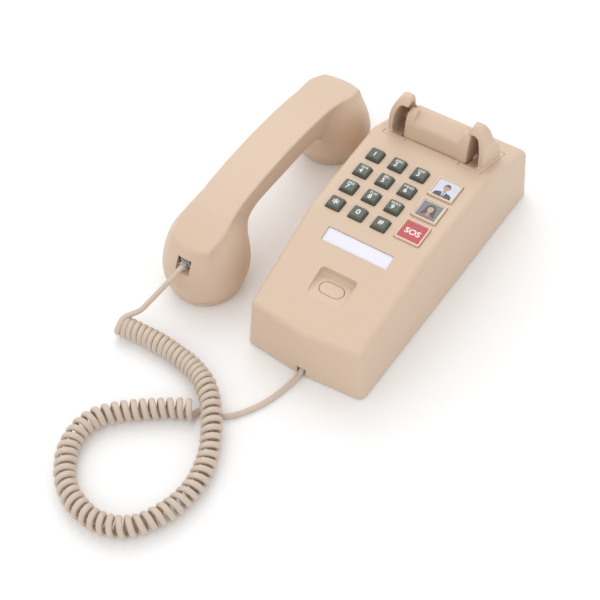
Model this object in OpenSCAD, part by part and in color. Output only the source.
// Corded landline phone: slim base unit lying on its back, push-button keypad,
// hooded cradle with a rocking hook, round-cup handset beside it and a curly cord.
// Millimetres, +Z up, +Y towards the cradle end, z = 0 is the table top.

/* [Base unit] */
// Length of the housing from its rear wall to its front corners
body_len = 230; // [226:1:236]
// Width of the housing at the rear, at table level
rear_w = 106; // [104:0.5:112]
// Width of the housing at the front, at table level
front_w = 93; // [90:0.5:96]
// Height of the flat keypad face
face_h = 68; // [67:0.5:70]
// Height of the front top edge
front_h = 46; // [44:0.5:48]
// Height of the rear top edge
rear_h = 42; // [40:0.5:44]
// Wall thickness of the housing
wall = 2.5; // [2:0.1:3]
// Radius of the housing's edges
edge_r = 5; // [4:0.5:6]

/* [Keypad] */
// Centre-to-centre spacing of the digit keys
key_pitch = 17.8; // [17.4:0.1:18.2]
// Side of a digit key
key_side = 10.8; // [10:0.1:11.2]
// Spacing of the memory keys
mem_pitch = 22.8; // [22:0.1:23.4]
// Side of a memory key
mem_side = 18.8; // [18:0.1:19.4]
// Travel of a digit key
key_travel = 1.8; // [1.2:0.1:2]
// Travel of a memory key
mem_travel = 1.5; // [1:0.1:1.6]

/* [Cradle] */
// Height of the hook's pivot pin
pin_z = 66; // [66:0.5:66.5]
// Distance of the pivot pin from the middle of the base
pin_y = 78; // [78:0.5:78.5]
// Radius of the hook saddle's front face about the pin
saddle_r = 21.7; // [21:0.1:21.8]
// Radius of the pivot pin
pin_r = 1.5; // [1.2:0.1:1.6]

/* [Handset] */
// Distance between the centres of the two caps
cup_span = 165; // [160:1:168]
// Largest radius of a cup
cup_r = 31.2; // [30:0.2:31.4]
// How far the cups lean in towards the handle, per millimetre of height
cup_lean = 0.15; // [0.1:0.01:0.16]
// Width of the handle
grip_w = 32; // [31:0.5:33]
// Height of the handle's back above the table
grip_top = 70; // [68:0.5:72]

/* [Cord] */
// Outer radius of the curly part
coil_r = 7.5; // [7:0.1:8]
// Radius of the straight cord
cord_r = 1.9; // [1.7:0.1:2.1]

/* [Hidden] */
$fn = 48;
// place of the base unit and of the handset in the part's frame
base_x = 40.05;
base_y = 1.75;
hs_x = -60.45;
hs_y = -0.75;
hs_turn = -1;
// the cord's routes are moved by this much along X
cord_x = 1.8;
// profile of the top face: ramp up from the front, flat keypad, fall to the rear
break_y = -33;
shoulder_y = 54;
ramp_a = atan((face_h - front_h) / (body_len / 2 + break_y));
fall_a = atan((face_h - rear_h) / (body_len / 2 - shoulder_y));
// height of the ramp and of the rear slope at y, and of the centre line of their rounded edges
function ramp_z(y) = face_h + (y - break_y) * tan(ramp_a);
function fall_z(y) = face_h - (y - shoulder_y) * tan(fall_a);
// keypad grid
col_x = [-30.9, -30.9 + key_pitch, -30.9 + 2 * key_pitch];
row_y = [27.6, 27.6 - key_pitch, 27.6 - 2 * key_pitch, 27.6 - 3 * key_pitch];
mem_x = 26.4;
mem_y = [25.1, 25.1 - mem_pitch, 25.1 - 2 * mem_pitch];
// finger scoop with a level floor
scoop_y0 = -92.5;
scoop_y1 = -69.4;
scoop_z = face_h + (scoop_y0 - break_y) * tan(ramp_a);
flash_y = -80.2;
beige = [0.89, 0.78, 0.67];
dark = [0.22, 0.25, 0.22];

// ---------- helpers ----------
module in_base() { translate([base_x, base_y, 0]) children(); }
module in_cord() { translate([cord_x, 0, 0]) children(); }
module in_handset() { translate([hs_x, hs_y, 0]) rotate([0, 0, hs_turn]) children(); }
// 2D drawing in the Y-Z plane, extruded from x0 to x1
module yz(x0, x1) { translate([x0, 0, 0]) rotate([90, 0, 90]) linear_extrude(x1 - x0) children(); }
// 2D drawing in the X-Z plane, extruded from y0 to y1
module xz(y0, y1) { translate([0, y1, 0]) rotate([90, 0, 0]) linear_extrude(y1 - y0) children(); }
module block(x0, x1, y0, y1, z0, z1) { translate([x0, y0, z0]) cube([x1 - x0, y1 - y0, z1 - z0]); }
module on_ramp(s) { translate([0, break_y, face_h]) rotate([ramp_a, 0, 0]) translate([0, s, 0]) children(); }
module both_sides() { children(); mirror([1, 0, 0]) children(); }
module at_corners(x1, y1, x2, y2) { for (s = [-1, 1]) { translate([s * x1, y1, 0]) children(); translate([s * x2, y2, 0]) children(); } }

// ---------- housing ----------
// solid envelope of the housing; r is the edge radius, so a smaller r gives an offset shape
module envelope(r, floor_z) {
  d = edge_r;
  hull() {
    for (s = [-1, 1]) {
      translate([s * (front_w / 2 - 3 - d), -body_len / 2 + d + 0.8, ramp_z(-body_len / 2 + d + 0.8) - d / cos(ramp_a)]) sphere(r, $fn = 32);
      translate([s * 42, break_y + d * tan(ramp_a / 2), face_h - d]) sphere(r, $fn = 32);
      translate([s * 43.5, shoulder_y - d * tan(fall_a / 2), face_h - d]) sphere(r, $fn = 32);
      translate([s * (rear_w / 2 - 3.5 - d), body_len / 2 - d - 1, fall_z(body_len / 2 - d - 1) - d / cos(fall_a)]) sphere(r, $fn = 32);
      translate([s * (front_w / 2 - d), -body_len / 2 + d, floor_z]) cylinder(r = r, h = 2, $fn = 32);
      translate([s * (rear_w / 2 - d), body_len / 2 - d, floor_z]) cylinder(r = r, h = 2, $fn = 32);
    }
    translate([0, -body_len / 2 + d - 3.2, ramp_z(-body_len / 2 + d - 3.2) - d / cos(ramp_a)]) sphere(r, $fn = 32);
    translate([0, -body_len / 2 + d - 3.5, floor_z]) cylinder(r = r, h = 2, $fn = 32);
  }
}
module housing() {
  color(beige) in_base() difference() {
    envelope(edge_r, 1);
    difference() {
      envelope(edge_r - wall, -1);
      // thick pad that carries the finger scoop
      block(-17, 17, scoop_y0 - 4, scoop_y1 + 3.5, scoop_z - 2.6, 80);
      // screw posts
      at_corners(36, -98, 41, 98) cylinder(r = 4, h = 60);
      // shouldered posts that carry the keypad board
      at_corners(39.5, -26, 39.5, 37) { translate([0, 0, 55.65]) cylinder(r = 1.9, h = 14); translate([0, 0, 53]) cylinder(r = 1, h = 6); }
    }
    // screw holes
    at_corners(36, -98, 41, 98) translate([0, 0, -1]) cylinder(r = 1.25, h = 17);
    block(-60, 60, -125, 125, -2, 1.0);
    // clearance above the base plate for the posts
    at_corners(36, -98, 41, 98) translate([0, 0, 0.9]) cylinder(r = 4.6, h = 3.1);
    // key holes
    for (x = col_x, y = row_y) block(x - key_side / 2 - 0.4, x + key_side / 2 + 0.4, y - key_side / 2 - 0.4, y + key_side / 2 + 0.4, 60, 75);
    for (y = mem_y) block(mem_x - mem_side / 2 - 0.4, mem_x + mem_side / 2 + 0.4, y - mem_side / 2 - 0.4, y + mem_side / 2 + 0.4, 60, 75);
    // recess of the number card
    on_ramp(-15.8) block(-25.4, 25.4, -5.5, 5.5, -1.25, 10);
    // finger scoop, level floor, open towards the front
    block(-14, 14, scoop_y0, scoop_y1, scoop_z, 80);
    // hole of the flash button
    translate([0, flash_y, 40]) linear_extrude(30) slot2d(9.4, 5.65);
    // opening for the cradle
    difference() {
      block(-39.3, 39.3, 51.4, 95.3, 45, 80);
      block(-21.3, 21.3, 51, 55.5, 45, 80);
    }
    // notch for the handset cord, and the window of the line jack
    block(-3.4, 3.4, -125, -105, -1, 8);
    block(-5.4, 5.4, 105, 125, 9.4, 17.4);
  }
}
module slot2d(hl, r) { translate([-hl + r, 0]) circle(r); translate([hl - r, 0]) circle(r); translate([-hl + r, -r]) square([2 * (hl - r), 2 * r]); }

module base_plate() {
  color([0.35, 0.34, 0.33]) in_base() difference() {
    union() {
      translate([0, 0, 1.2]) linear_extrude(2.5) polygon([[-43, -109.8], [-40, -112.2], [40, -112.2], [43, -109.8], [49.4, 109], [47, 111.8], [-47, 111.8], [-49.4, 109]]);
      // pillars for the main board
      for (x = [-30, 30], y = [-70, 40]) translate([x, y, 3]) cylinder(r = 3, h = 12.15);
      // seat of the line jack
      block(-9, 9, 96.5, 110, 3, 7.2);
    }
    at_corners(36, -98, 41, 98) translate([0, 0, -1]) cylinder(r = 1.8, h = 10);
    at_corners(36, -98, 41, 98) translate([0, 0, -1]) cylinder(r = 3.4, h = 3.3);
    for (x = [-30, 30], y = [-70, 40]) translate([x, y, 6]) cylinder(r = 0.9, h = 20);
    // pockets of the feet
    at_corners(30, -84, 34, 84) translate([0, 0, 0]) cylinder(r = 6.1, h = 2.2);
    // keyhole slots that hang on two wall studs
    for (y = [-54, 44.4]) {
      translate([0, y, 0]) cylinder(r = 5, h = 10);
      translate([0, y + 11, 0]) cylinder(r = 2.6, h = 10);
      block(-2.6, 2.6, y, y + 11, 0, 10);
    }
    // way for the handset cord
    block(-6.5, 6.5, -115, -104.5, -1, 3.4);
  }
}
module rubber_feet() { color([0.2, 0.2, 0.2]) in_base() at_corners(30, -84, 34, 84) cylinder(r = 6, h = 2.2); }
module base_screws() {
  color("silver") in_base() at_corners(36, -98, 41, 98) difference() {
    union() { translate([0, 0, 1.4]) cylinder(r = 3.2, h = 0.9); translate([0, 0, 2.2]) cylinder(r = 1.2, h = 12); }
    for (a = [0, 90]) rotate([0, 0, a]) block(-2, 2, -0.35, 0.35, 1, 1.9);
  }
}

// ---------- cradle ----------
module ear_outer2d() { polygon([[56.5, 55], [56.5, 78], [57, 85], [58.4, 90.5], [60.8, 95], [63.8, 97.8], [66.8, 98.6], [69.2, 97.4], [70.6, 93], [71.8, 87], [75, 80.5], [79.5, 75], [83.6, 69], [86, 62], [88.5, 52]]); }
module ear_inner2d() { polygon([[50, 55], [50, 91.4], [59.5, 91.9], [63, 93.4], [66, 94], [67.4, 93.2], [68.3, 90.5], [69.4, 86], [72.6, 78.9], [77.2, 73.2], [81.2, 67.6], [83.5, 61], [85.6, 50]]); }
module ear_front2d() { polygon([[24, 50], [24, 96.6], [25, 98], [27.4, 98.6], [30.4, 98.2], [33.4, 95.4], [35.8, 90.6], [37.4, 84.6], [38.2, 77], [38.5, 50]]); }
module cavity_front2d() { polygon([[5, 50], [5, 94], [27, 94], [30, 92.2], [32.2, 88.6], [33.6, 83], [34.4, 76], [34.6, 50]]); }
module ear() {
  difference() {
    intersection() { yz(20, 40) ear_outer2d(); xz(45, 95) ear_front2d(); }
    intersection() { yz(9, 36) ear_inner2d(); xz(40, 95) cavity_front2d(); }
    // everything below the bezel plate's underside is cut away
    yz(9, 42) polygon([[40, 40], [40, 65.4], [shoulder_y, 65.4], [100, fall_z(100) - 2.6], [100, 40]]);
  }
}
module bezel_plate2d() {
  polygon([[51.7, face_h], [shoulder_y, face_h], [95, fall_z(95)], [95, fall_z(95) - 2.8], [shoulder_y, face_h - 2.6], [51.7, face_h - 2.6]]);
}
module cradle_bezel() {
  color(beige) in_base() difference() {
    union() {
      both_sides() ear();
      difference() {
        yz(-39, 39) bezel_plate2d();
        // opening that the hook saddle dips into, and the housing's tongue in front of it
        block(-26.2, 26.2, 55.9, 85.2, 40, 80);
        block(-21.6, 21.6, 50, 56.5, 40, 80);
      }
      // snap tabs under the housing's edge, front and rear
      both_sides() yz(25, 33) polygon([[49.6, 62.6], [49.6, 65.1], [51.7, 65.1], [51.7, 66.5], [54, 66.5], [54, 62.6]]);
      both_sides() yz(10, 22) polygon([[93, fall_z(93) - 1], [95, fall_z(95) - 1], [95, fall_z(95) - 3.2], [97.2, fall_z(97.2) - 3.2], [97.2, fall_z(97.2) - 5.6], [93, fall_z(93) - 5.6]]);
      // pin bosses inside the outer walls
      both_sides() yz(32.4, 35) translate([pin_y, pin_z]) circle(3.4);
    }
    both_sides() translate([31, pin_y, pin_z]) rotate([0, 90, 0]) cylinder(r = pin_r + 0.02, h = 5.6);
  }
}
function arc_pt(f) = [pin_y - saddle_r * cos(f), pin_z + saddle_r * sin(f)];
module saddle_mid2d() {
  polygon(concat([for (f = [-26:4:2]) arc_pt(f)], [[56.9, 70], [57.2, 76], [57.7, 79.4], [59, 81.4], [62, 83.4], [66, 85.4], [69.5, 86.6], [72.5, 86], [75, 83], [77.5, 78], [80.6, 71], [81.6, 66], [80.6, 62.6], [78, 61.8], [70, 60], [66, 56.5]]));
}
module saddle_cheek2d() {
  polygon(concat([for (f = [-26:4:2]) arc_pt(f)], [[56.9, 70], [57.2, 78], [58, 82.5], [59.6, 86.4], [62, 88.8], [64.4, 89.6], [66.4, 88.6], [67.8, 85.6], [70.4, 79.5], [74.8, 74.4], [79, 70], [80.8, 68], [81.2, 66], [80.4, 63], [78, 61.8], [70, 60], [66, 56.5]]));
}
module hook_saddle() {
  color(beige) in_base() difference() {
    union() {
      yz(-22.5, 22.5) saddle_mid2d();
      both_sides() intersection() {
        yz(17, 30) saddle_cheek2d();
        xz(50, 90) polygon([[18, 50], [18, 86.6], [18.8, 88.8], [20.6, 89.6], [23, 89.4], [24.5, 88], [25.1, 85], [25.2, 50]]);
      }
      // foot that presses the switch plunger
      block(-4, 4, 59, 63.5, 55, 62);
    }
    // hollow underside
    both_sides() yz(4.5, 20) polygon([[62, 50], [60.5, 66], [62.2, 73], [65.5, 79], [70, 82.2], [73, 79], [75, 71.5], [74, 66], [74.5, 62], [72, 50]]);
    // bore of the pin
    translate([-40, pin_y, pin_z]) rotate([0, 90, 0]) cylinder(r = pin_r + 0.05, h = 80);
    // gap around the spring
    block(-6.5, 6.5, 74.2, 90, 58, 71);
  }
}
module hook_pin() { color("silver") in_base() translate([-36.4, pin_y, pin_z]) rotate([0, 90, 0]) cylinder(r = pin_r, h = 72.8); }
module hook_spring() {
  color("silver") in_base() {
    for (i = [-3:1:3]) translate([i * 1.2, pin_y, pin_z]) rotate([0, 90, 0]) rotate_extrude() translate([2.25, 0]) circle(0.61);
    // leg that rests on the bezel's rear edge
    translate([3.6, pin_y - 0.3, pin_z - 2.2]) rotate([-138, 0, 0]) cylinder(r = 0.5, h = 12);
  }
}
module hook_switch() {
  color([0.1, 0.1, 0.11]) in_base() difference() {
    block(-7, 7, 56, 66, 16.85, 46);
    translate([0, 61, 34]) cylinder(r = 1.6, h = 20);
  }
}
module switch_plunger() { color("white") in_base() translate([0, 61, 39.5]) cylinder(r = 1.55, h = 15.2); }

// ---------- inside ----------
module main_board() {
  color([0.12, 0.35, 0.2]) in_base() difference() {
    union() {
      block(-36, 36, -94, 70, 15.2, 16.8);
      // dome switch under the flash button
      block(-3, 3, flash_y - 3, flash_y + 3, 16.5, 18);
      // transformer, two chips and capacitors
      block(-28, -12, 12, 30, 16.5, 30);
      block(2, 20, -20, -12, 16.5, 19.5);
      block(-20, -2, -44, -36, 16.5, 19.5);
      for (p = [[20, 20], [24, 4], [-26, -4]]) translate([p[0], p[1], 16.5]) cylinder(r = 4, h = 12);
    }
    for (x = [-30, 30], y = [-70, 40]) translate([x, y, 10]) cylinder(r = 1.6, h = 10);
  }
}
module board_screws() {
  color("silver") in_base() for (x = [-30, 30], y = [-70, 40]) translate([x, y, 0]) {
    translate([0, 0, 16.9]) cylinder(r = 2.6, h = 1.3);
    translate([0, 0, 9]) cylinder(r = 0.85, h = 8);
  }
}
module keypad_board() { color([0.12, 0.35, 0.2]) in_base() difference() {
    block(-42, 42, -30.5, 41, 54, 55.6);
    at_corners(39.5, -26, 39.5, 37) translate([0, 0, 50]) cylinder(r = 1.1, h = 9);
  } }
module keypad_mat() {
  color([0.6, 0.6, 0.6]) in_base() union() {
    block(-36.6, 37.2, -30.3, 40.5, 55.7, 56.9);
    for (x = col_x, y = row_y) translate([x, y, 56.8]) cylinder(r = 3.2, h = 2.2);
    for (y = mem_y) translate([mem_x, y, 56.8]) cylinder(r = 3.2, h = 2.2);
  }
}
module ringer() {
  color([0.15, 0.15, 0.15]) in_base() translate([-25, 83, 3.8]) difference() { cylinder(r = 14, h = 7); translate([0, 0, 5.5]) cylinder(r = 2.5, h = 4); }
}
module jack(w, d, h, ow, oh) {
  // modular jack, mouth towards -Y at y = 0
  difference() {
    block(-w / 2, w / 2, 0, d, 0, h);
    block(-ow / 2, ow / 2, -1, d - 3, (h - oh) / 2, (h + oh) / 2);
    block(-1.6, 1.6, -1, d - 5, (h - oh) / 2 - 1.4, (h - oh) / 2 + 1);
  }
}
module line_jack() { color([0.9, 0.88, 0.82]) in_base() translate([0, 111.9, 7.3]) mirror([0, 1, 0]) jack(14, 15, 12.2, 9.7, 6.7); }
module cord_jack() { color([0.16, 0.16, 0.16]) in_base() translate([0, -107, 3.9]) jack(11.6, 15, 10.6, 7.9, 6.7); }

// ---------- keys ----------
module key(c, r) {
  x = col_x[c]; y = row_y[r]; s = key_side / 2;
  color(dark) in_base() translate([x, y, 0]) {
    block(-s - 1, s + 1, -s - 1, s + 1, 63.4, 65);
    block(-s, s, -s, s, 64.5, 69.2);
    translate([0, 0, 69.2]) linear_extrude(1.8, scale = 0.86) square(2 * s, center = true);
    translate([0, 0, 61.2]) cylinder(r = 2.6, h = 3);
  }
}
module memory_key(i) {
  s = mem_side / 2;
  color(i == 2 ? [0.93, 0.75, 0.64] : beige) in_base() translate([mem_x, mem_y[i], 0]) {
    difference() {
      union() {
        block(-s - 0.9, s + 0.9, -s - 0.9, s + 0.9, 63.6, 65);
        block(-s, s, -s, s, 64.5, 70);
      }
      block(-s + 1.3, s - 1.3, -s + 1.3, s - 1.3, 68.5, 72);
    }
    translate([0, 0, 60.9]) cylinder(r = 3, h = 3);
  }
}
module card(i, c) { s = mem_side / 2 - 1.45; color(c) in_base() translate([mem_x, mem_y[i], 0]) block(-s, s, -s, s, 68.55, 68.85); }
module cover(i) { s = mem_side / 2 - 1.4; color([0.95, 0.97, 1, 0.3]) in_base() translate([mem_x, mem_y[i], 0]) block(-s, s, -s, s, 68.9, 69.9); }
module number_card() { color([0.9, 0.89, 0.96]) in_base() on_ramp(-15.8) block(-25.1, 25.1, -5.2, 5.2, -1.2, -0.85); }
module card_window() { color([0.95, 0.97, 1, 0.3]) in_base() on_ramp(-15.8) block(-25.2, 25.2, -5.3, 5.3, -0.8, -0.15); }
module flash_button() {
  color(beige) in_base() translate([0, flash_y, 0]) {
    translate([0, 0, scoop_z - 2]) linear_extrude(2.2) slot2d(9, 5.25);
    translate([0, 0, scoop_z - 5.4]) linear_extrude(2.2) slot2d(10.2, 6.4);
    translate([0, 0, scoop_z - 4]) linear_extrude(3) slot2d(9, 5.25);
    translate([0, 0, 19.5]) cylinder(r = 1.6, h = scoop_z - 24);
  }
}

// ---------- handset ----------
// radius of a cup against height; the seam of its cap is at z = 8
cup_pts = [[cup_r - 3.4, 8], [cup_r - 1.9, 12], [cup_r - 0.7, 16], [cup_r - 0.1, 20], [cup_r, 23], [cup_r - 0.2, 26], [cup_r - 0.9, 32], [cup_r - 2.2, 38],
  [cup_r - 4.1, 44], [cup_r - 6.9, 50], [cup_r - 10, 55], [cup_r - 14.3, 60], [cup_r - 20, 64.5]];
// side outline of the handle, over which the top is cut to the same curve
top_pts = [[98.5, 17.2], [95, 15.7], [90, 13.6], [80, 10], [70, 7.1], [50, 3.2], [30, 1.1], [0, 0]];
function top_line(t) = concat([for (p = top_pts) [-p[0], t - p[1]]], [for (k = [len(top_pts) - 2:-1:0]) [top_pts[k][0], t - top_pts[k][1]]]);
module grip2d(top) {
  polygon(concat(top_line(top), [[98, 40], [90, 24], [53, 24], [50.5, 31], [47, 38], [42, 43.5], [34, 47], [0, 47.5],
    [-34, 47], [-42, 43.5], [-47, 38], [-50.5, 31], [-53, 24], [-90, 24], [-98, 40]]));
}
module lid2d(t) { polygon(concat([[-130, -1], [-130, t - 36]], top_line(t), [[130, t - 36], [130, -1]])); }
module cup(s, d) {
  hull() for (p = cup_pts) translate([0, s * (cup_span / 2 - cup_lean * (p[1] - 8)), p[1] - (p[1] > 40 ? d : 0)]) cylinder(r = p[0] - d, h = 0.05, $fn = 64);
}
module handset_shell() {
  color(beige) in_handset() difference() {
    union() {
      intersection() { union() { cup(-1, 0); cup(1, 0); } yz(-40, 40) lid2d(grip_top); }
      difference() { yz(-grip_w / 2, grip_w / 2) grip2d(grip_top); for (s = [-1, 1]) translate([0, s * cup_span / 2, 23]) cylinder(r = 27, h = 26); }
    }
    // hollow cups and handle
    intersection() { union() { cup(-1, 2.6); cup(1, 2.6); } yz(-40, 40) lid2d(grip_top - 2.8); }
    yz(-grip_w / 2 + 2.6, grip_w / 2 - 2.6) polygon([[-84, 50], [-84, 54.5], [-70, 59], [-50, 63.4], [0, 66.8], [50, 63.4], [70, 59], [84, 54.5], [84, 50], [50, 50.5], [-50, 50.5]]);
    // the shell starts at the seam of the caps
    block(-40, 40, -130, 130, -1, 8.05);
    for (s = [-1, 1]) translate([0, s * cup_span / 2, 7]) cylinder(r = cup_r - 6, h = 3);
    // seat of the modular jack
    block(-6.2, 6.2, -120, -96, 33.5, 45.5);
  }
}
module cup_cap(s, holes) {
  color(beige) in_handset() translate([0, s * cup_span / 2, 0]) difference() {
    union() {
      rotate_extrude($fn = 64) polygon([[0, 1.4], [cup_r - 16, 1.4], [cup_r - 13.5, 0], [cup_r - 8, 0], [cup_r - 6.6, 0.8], [cup_r - 5.2, 3.2], [cup_r - 3.5, 7.8], [cup_r - 6.2, 7.8], [cup_r - 6.2, 13.5], [cup_r - 8.2, 13.5], [cup_r - 8.2, 4], [0, 4]]);
    }
    for (h = holes) translate([h[0], h[1], 0]) cylinder(r = 1.1, h = 6, $fn = 24);
  }
}
ring6 = [for (a = [0:60:300]) [6.5 * cos(a), 6.5 * sin(a)]];
module receiver_cap() { cup_cap(1, concat([[0, 0]], ring6)); }
module transmitter_cap() { cup_cap(-1, concat([[0, 0]], ring6, [for (a = [15:30:345]) [13 * cos(a), 13 * sin(a)]])); }
module receiver_capsule() { color([0.3, 0.3, 0.32]) in_handset() translate([0, cup_span / 2, 4.2]) { cylinder(r = 22, h = 5); translate([0, 0, 4.9]) cylinder(r = 16, h = 8); } }
module transmitter_capsule() { color([0.3, 0.3, 0.32]) in_handset() translate([0, -cup_span / 2, 4.2]) { cylinder(r = 22, h = 4); translate([0, 0, 3.9]) cylinder(r = 9, h = 6); } }
module handset_jack() { color([0.16, 0.16, 0.16]) in_handset() translate([0, -102.6, 33.6]) jack(12.2, 15, 11.8, 7.9, 6.7); }

// ---------- cord ----------
// modular plug, body from y = 0 into the jack, cord leaves towards -Y
module plug() {
  color([0.85, 0.87, 0.9, 0.6]) {
    block(-3.8, 3.8, 0, 11.5, -3.2, 3.2);
    block(-2.4, 2.4, -3.6, 0.2, -2.2, 2.2);
    block(-1.4, 1.4, 1, 9, -4.4, -3);
  }
}
module base_plug() { in_base() translate([0, -107.5, 9.2]) plug(); }
// carries the first bit of cord, which runs out past the bulge of the cup
module handset_plug() {
  in_handset() translate([0, -103.1, 39.5]) {
    plug();
    color([0.8, 0.72, 0.62]) rotate([90, 0, 0]) translate([0, 0, 3.4]) cylinder(r = cord_r - 0.2, h = 7.5, $fn = 24);
  }
}

function unit(v) = v / max(norm(v), 1e-9);
function lerp(a, b, t) = a + (b - a) * t;
// Catmull-Rom position on the route p at u (in point indices)
function cr(p, u) = let (n = len(p) - 1, i = min(floor(u), n - 1), t = u - i,
  a = p[max(i - 1, 0)], b = p[i], c = p[i + 1], d = p[min(i + 2, n)])
  0.5 * (2 * b + (c - a) * t + (2 * a - 5 * b + 4 * c - d) * t * t + (3 * b - a - 3 * c + d) * t * t * t);
// tube of radius r and s sides swept along the points q
module tube(q, r, s) {
  n = len(q);
  tan_v = [for (i = [0:n - 1]) unit(q[min(i + 1, n - 1)] - q[max(i - 1, 0)])];
  side_v = [for (t = tan_v) unit(cross(abs(t[2]) > 0.95 ? [0, 1, 0] : [0, 0, 1], t))];
  pts = [for (i = [0:n - 1]) for (k = [0:s - 1]) let (a = 360 * (k + 0.5) / s, u = side_v[i], w = cross(tan_v[i], u)) q[i] + r * cos(a) * u + r * sin(a) * w];
  faces = concat(
    [[for (k = [s - 1:-1:0]) k]],
    [for (i = [0:n - 2]) for (k = [0:s - 1]) [i * s + k, i * s + (k + 1) % s, (i + 1) * s + (k + 1) % s]],
    [for (i = [0:n - 2]) for (k = [0:s - 1]) [i * s + k, (i + 1) * s + (k + 1) % s, (i + 1) * s + k]],
    [[for (k = [0:s - 1]) (n - 1) * s + k]]);
  polyhedron(points = pts, faces = faces, convexity = 6);
}
// axis of the curly part, from the handset end round the loop to the base end
coil_route = [[-88, -153, 7.7], [-80, -152, 7.7], [-69, -151, 7.7], [-58, -151, 7.7], [-46.5, -151.5, 7.7], [-35.5, -153, 7.7], [-26.5, -154.5, 7.7],
  [-18, -157.5, 8.2], [-10, -161.5, 9.2], [-3, -167, 10.4], [3.5, -173, 11.4], [9, -180, 11.9], [15, -188, 11.4], [20, -196, 10.2],
  [23.5, -203, 9.2], [26, -209.5, 8.4], [28, -216.5, 7.9], [29.5, -223.5, 7.7], [30, -230.5, 7.7], [29.5, -238, 7.7], [28.5, -245, 7.7],
  [26.5, -252, 7.7], [23.5, -259, 7.7], [20, -265.5, 7.7], [16, -271, 7.7], [11, -275.5, 7.7], [5, -279, 7.7], [-1.5, -281, 7.7],
  [-8.5, -282, 7.7], [-15.5, -281.5, 7.7], [-22.5, -280, 7.7], [-29, -277.5, 7.7], [-35, -274.5, 7.7], [-41, -270, 7.7],
  [-45, -266, 7.7], [-48.5, -261, 7.7], [-52.5, -255, 7.7], [-55.5, -248, 7.7], [-57, -241.5, 7.7], [-57.5, -235, 7.7],
  [-56.5, -228.5, 7.7], [-54, -222, 7.7], [-50.5, -217, 7.7], [-46, -212, 7.7], [-40, -206.5, 7.7], [-34, -202, 7.7],
  [-27.5, -197, 7.7], [-20.5, -192, 7.7], [-13.5, -187.5, 7.7], [-6.5, -184.2, 7.7]];
// straight lead from the handset jack down to the first turn
lead_hs = [[-64.4, -115.5, 38.3], [-65.4, -118.7, 36.1], [-67.6, -123.3, 32.6], [-70.6, -129, 27.6], [-74.6, -136.2, 21.4], [-78.5, -142.5, 17], [-81.5, -146.6, 15.8]];
// straight lead from the last turn, under the raised part of the curl, to the base jack
lead_base = [[-6, -184.1, 2.1], [-1, -182.2, 2], [4, -180, 2], [9, -177.4, 2], [14, -173.9, 2], [19, -168.8, 2], [24, -162.2, 2], [28.2, -155, 2], [31.4, -148, 2], [34, -140, 2], [36, -132, 2.1], [37.5, -125, 2.7], [38.25, -118.5, 3.4], [38.25, -114.4, 5.3], [38.25, -112, 7.7], [38.25, -109.9, 8.8]];
module cord_coil() { color([0.8, 0.72, 0.62]) in_cord() tube([for (i = [0:1:len(coil_route) - 1]) coil_route[i]], coil_r, 12); }
module cord_lead_handset() { color([0.8, 0.72, 0.62]) in_cord() tube([for (u = [0:0.5:len(lead_hs) - 1]) cr(lead_hs, u)], cord_r, 8); }
module cord_lead_base() { color([0.8, 0.72, 0.62]) in_cord() tube([for (u = [0:0.5:len(lead_base) - 1]) cr(lead_base, u)], cord_r, 8); }

housing();
base_plate();
cradle_bezel();
hook_saddle();
hook_pin();
hook_spring();
hook_switch();
switch_plunger();
main_board();
board_screws();
keypad_board();
keypad_mat();
key(0, 0);  // key_1
key(1, 0);  // key_2
key(2, 0);  // key_3
key(0, 1);  // key_4
key(1, 1);  // key_5
key(2, 1);  // key_6
key(0, 2);  // key_7
key(1, 2);  // key_8
key(2, 2);  // key_9
key(0, 3);  // key_star
key(1, 3);  // key_0
key(2, 3);  // key_hash
memory_key(0);  // memory_key_1
memory_key(1);  // memory_key_2
memory_key(2);  // sos_key
card(0, [0.75, 0.75, 0.82]);  // picture_card_1
card(1, [0.4, 0.36, 0.4]);  // picture_card_2
card(2, [0.8, 0.12, 0.14]);  // sos_card
cover(0);  // key_cover_1
cover(1);  // key_cover_2
cover(2);  // sos_cover
number_card();
card_window();
flash_button();
ringer();
line_jack();
cord_jack();
rubber_feet();
base_screws();
handset_shell();
receiver_cap();
transmitter_cap();
receiver_capsule();
transmitter_capsule();
handset_jack();
handset_plug();
base_plug();
cord_lead_handset();
cord_coil();
cord_lead_base();
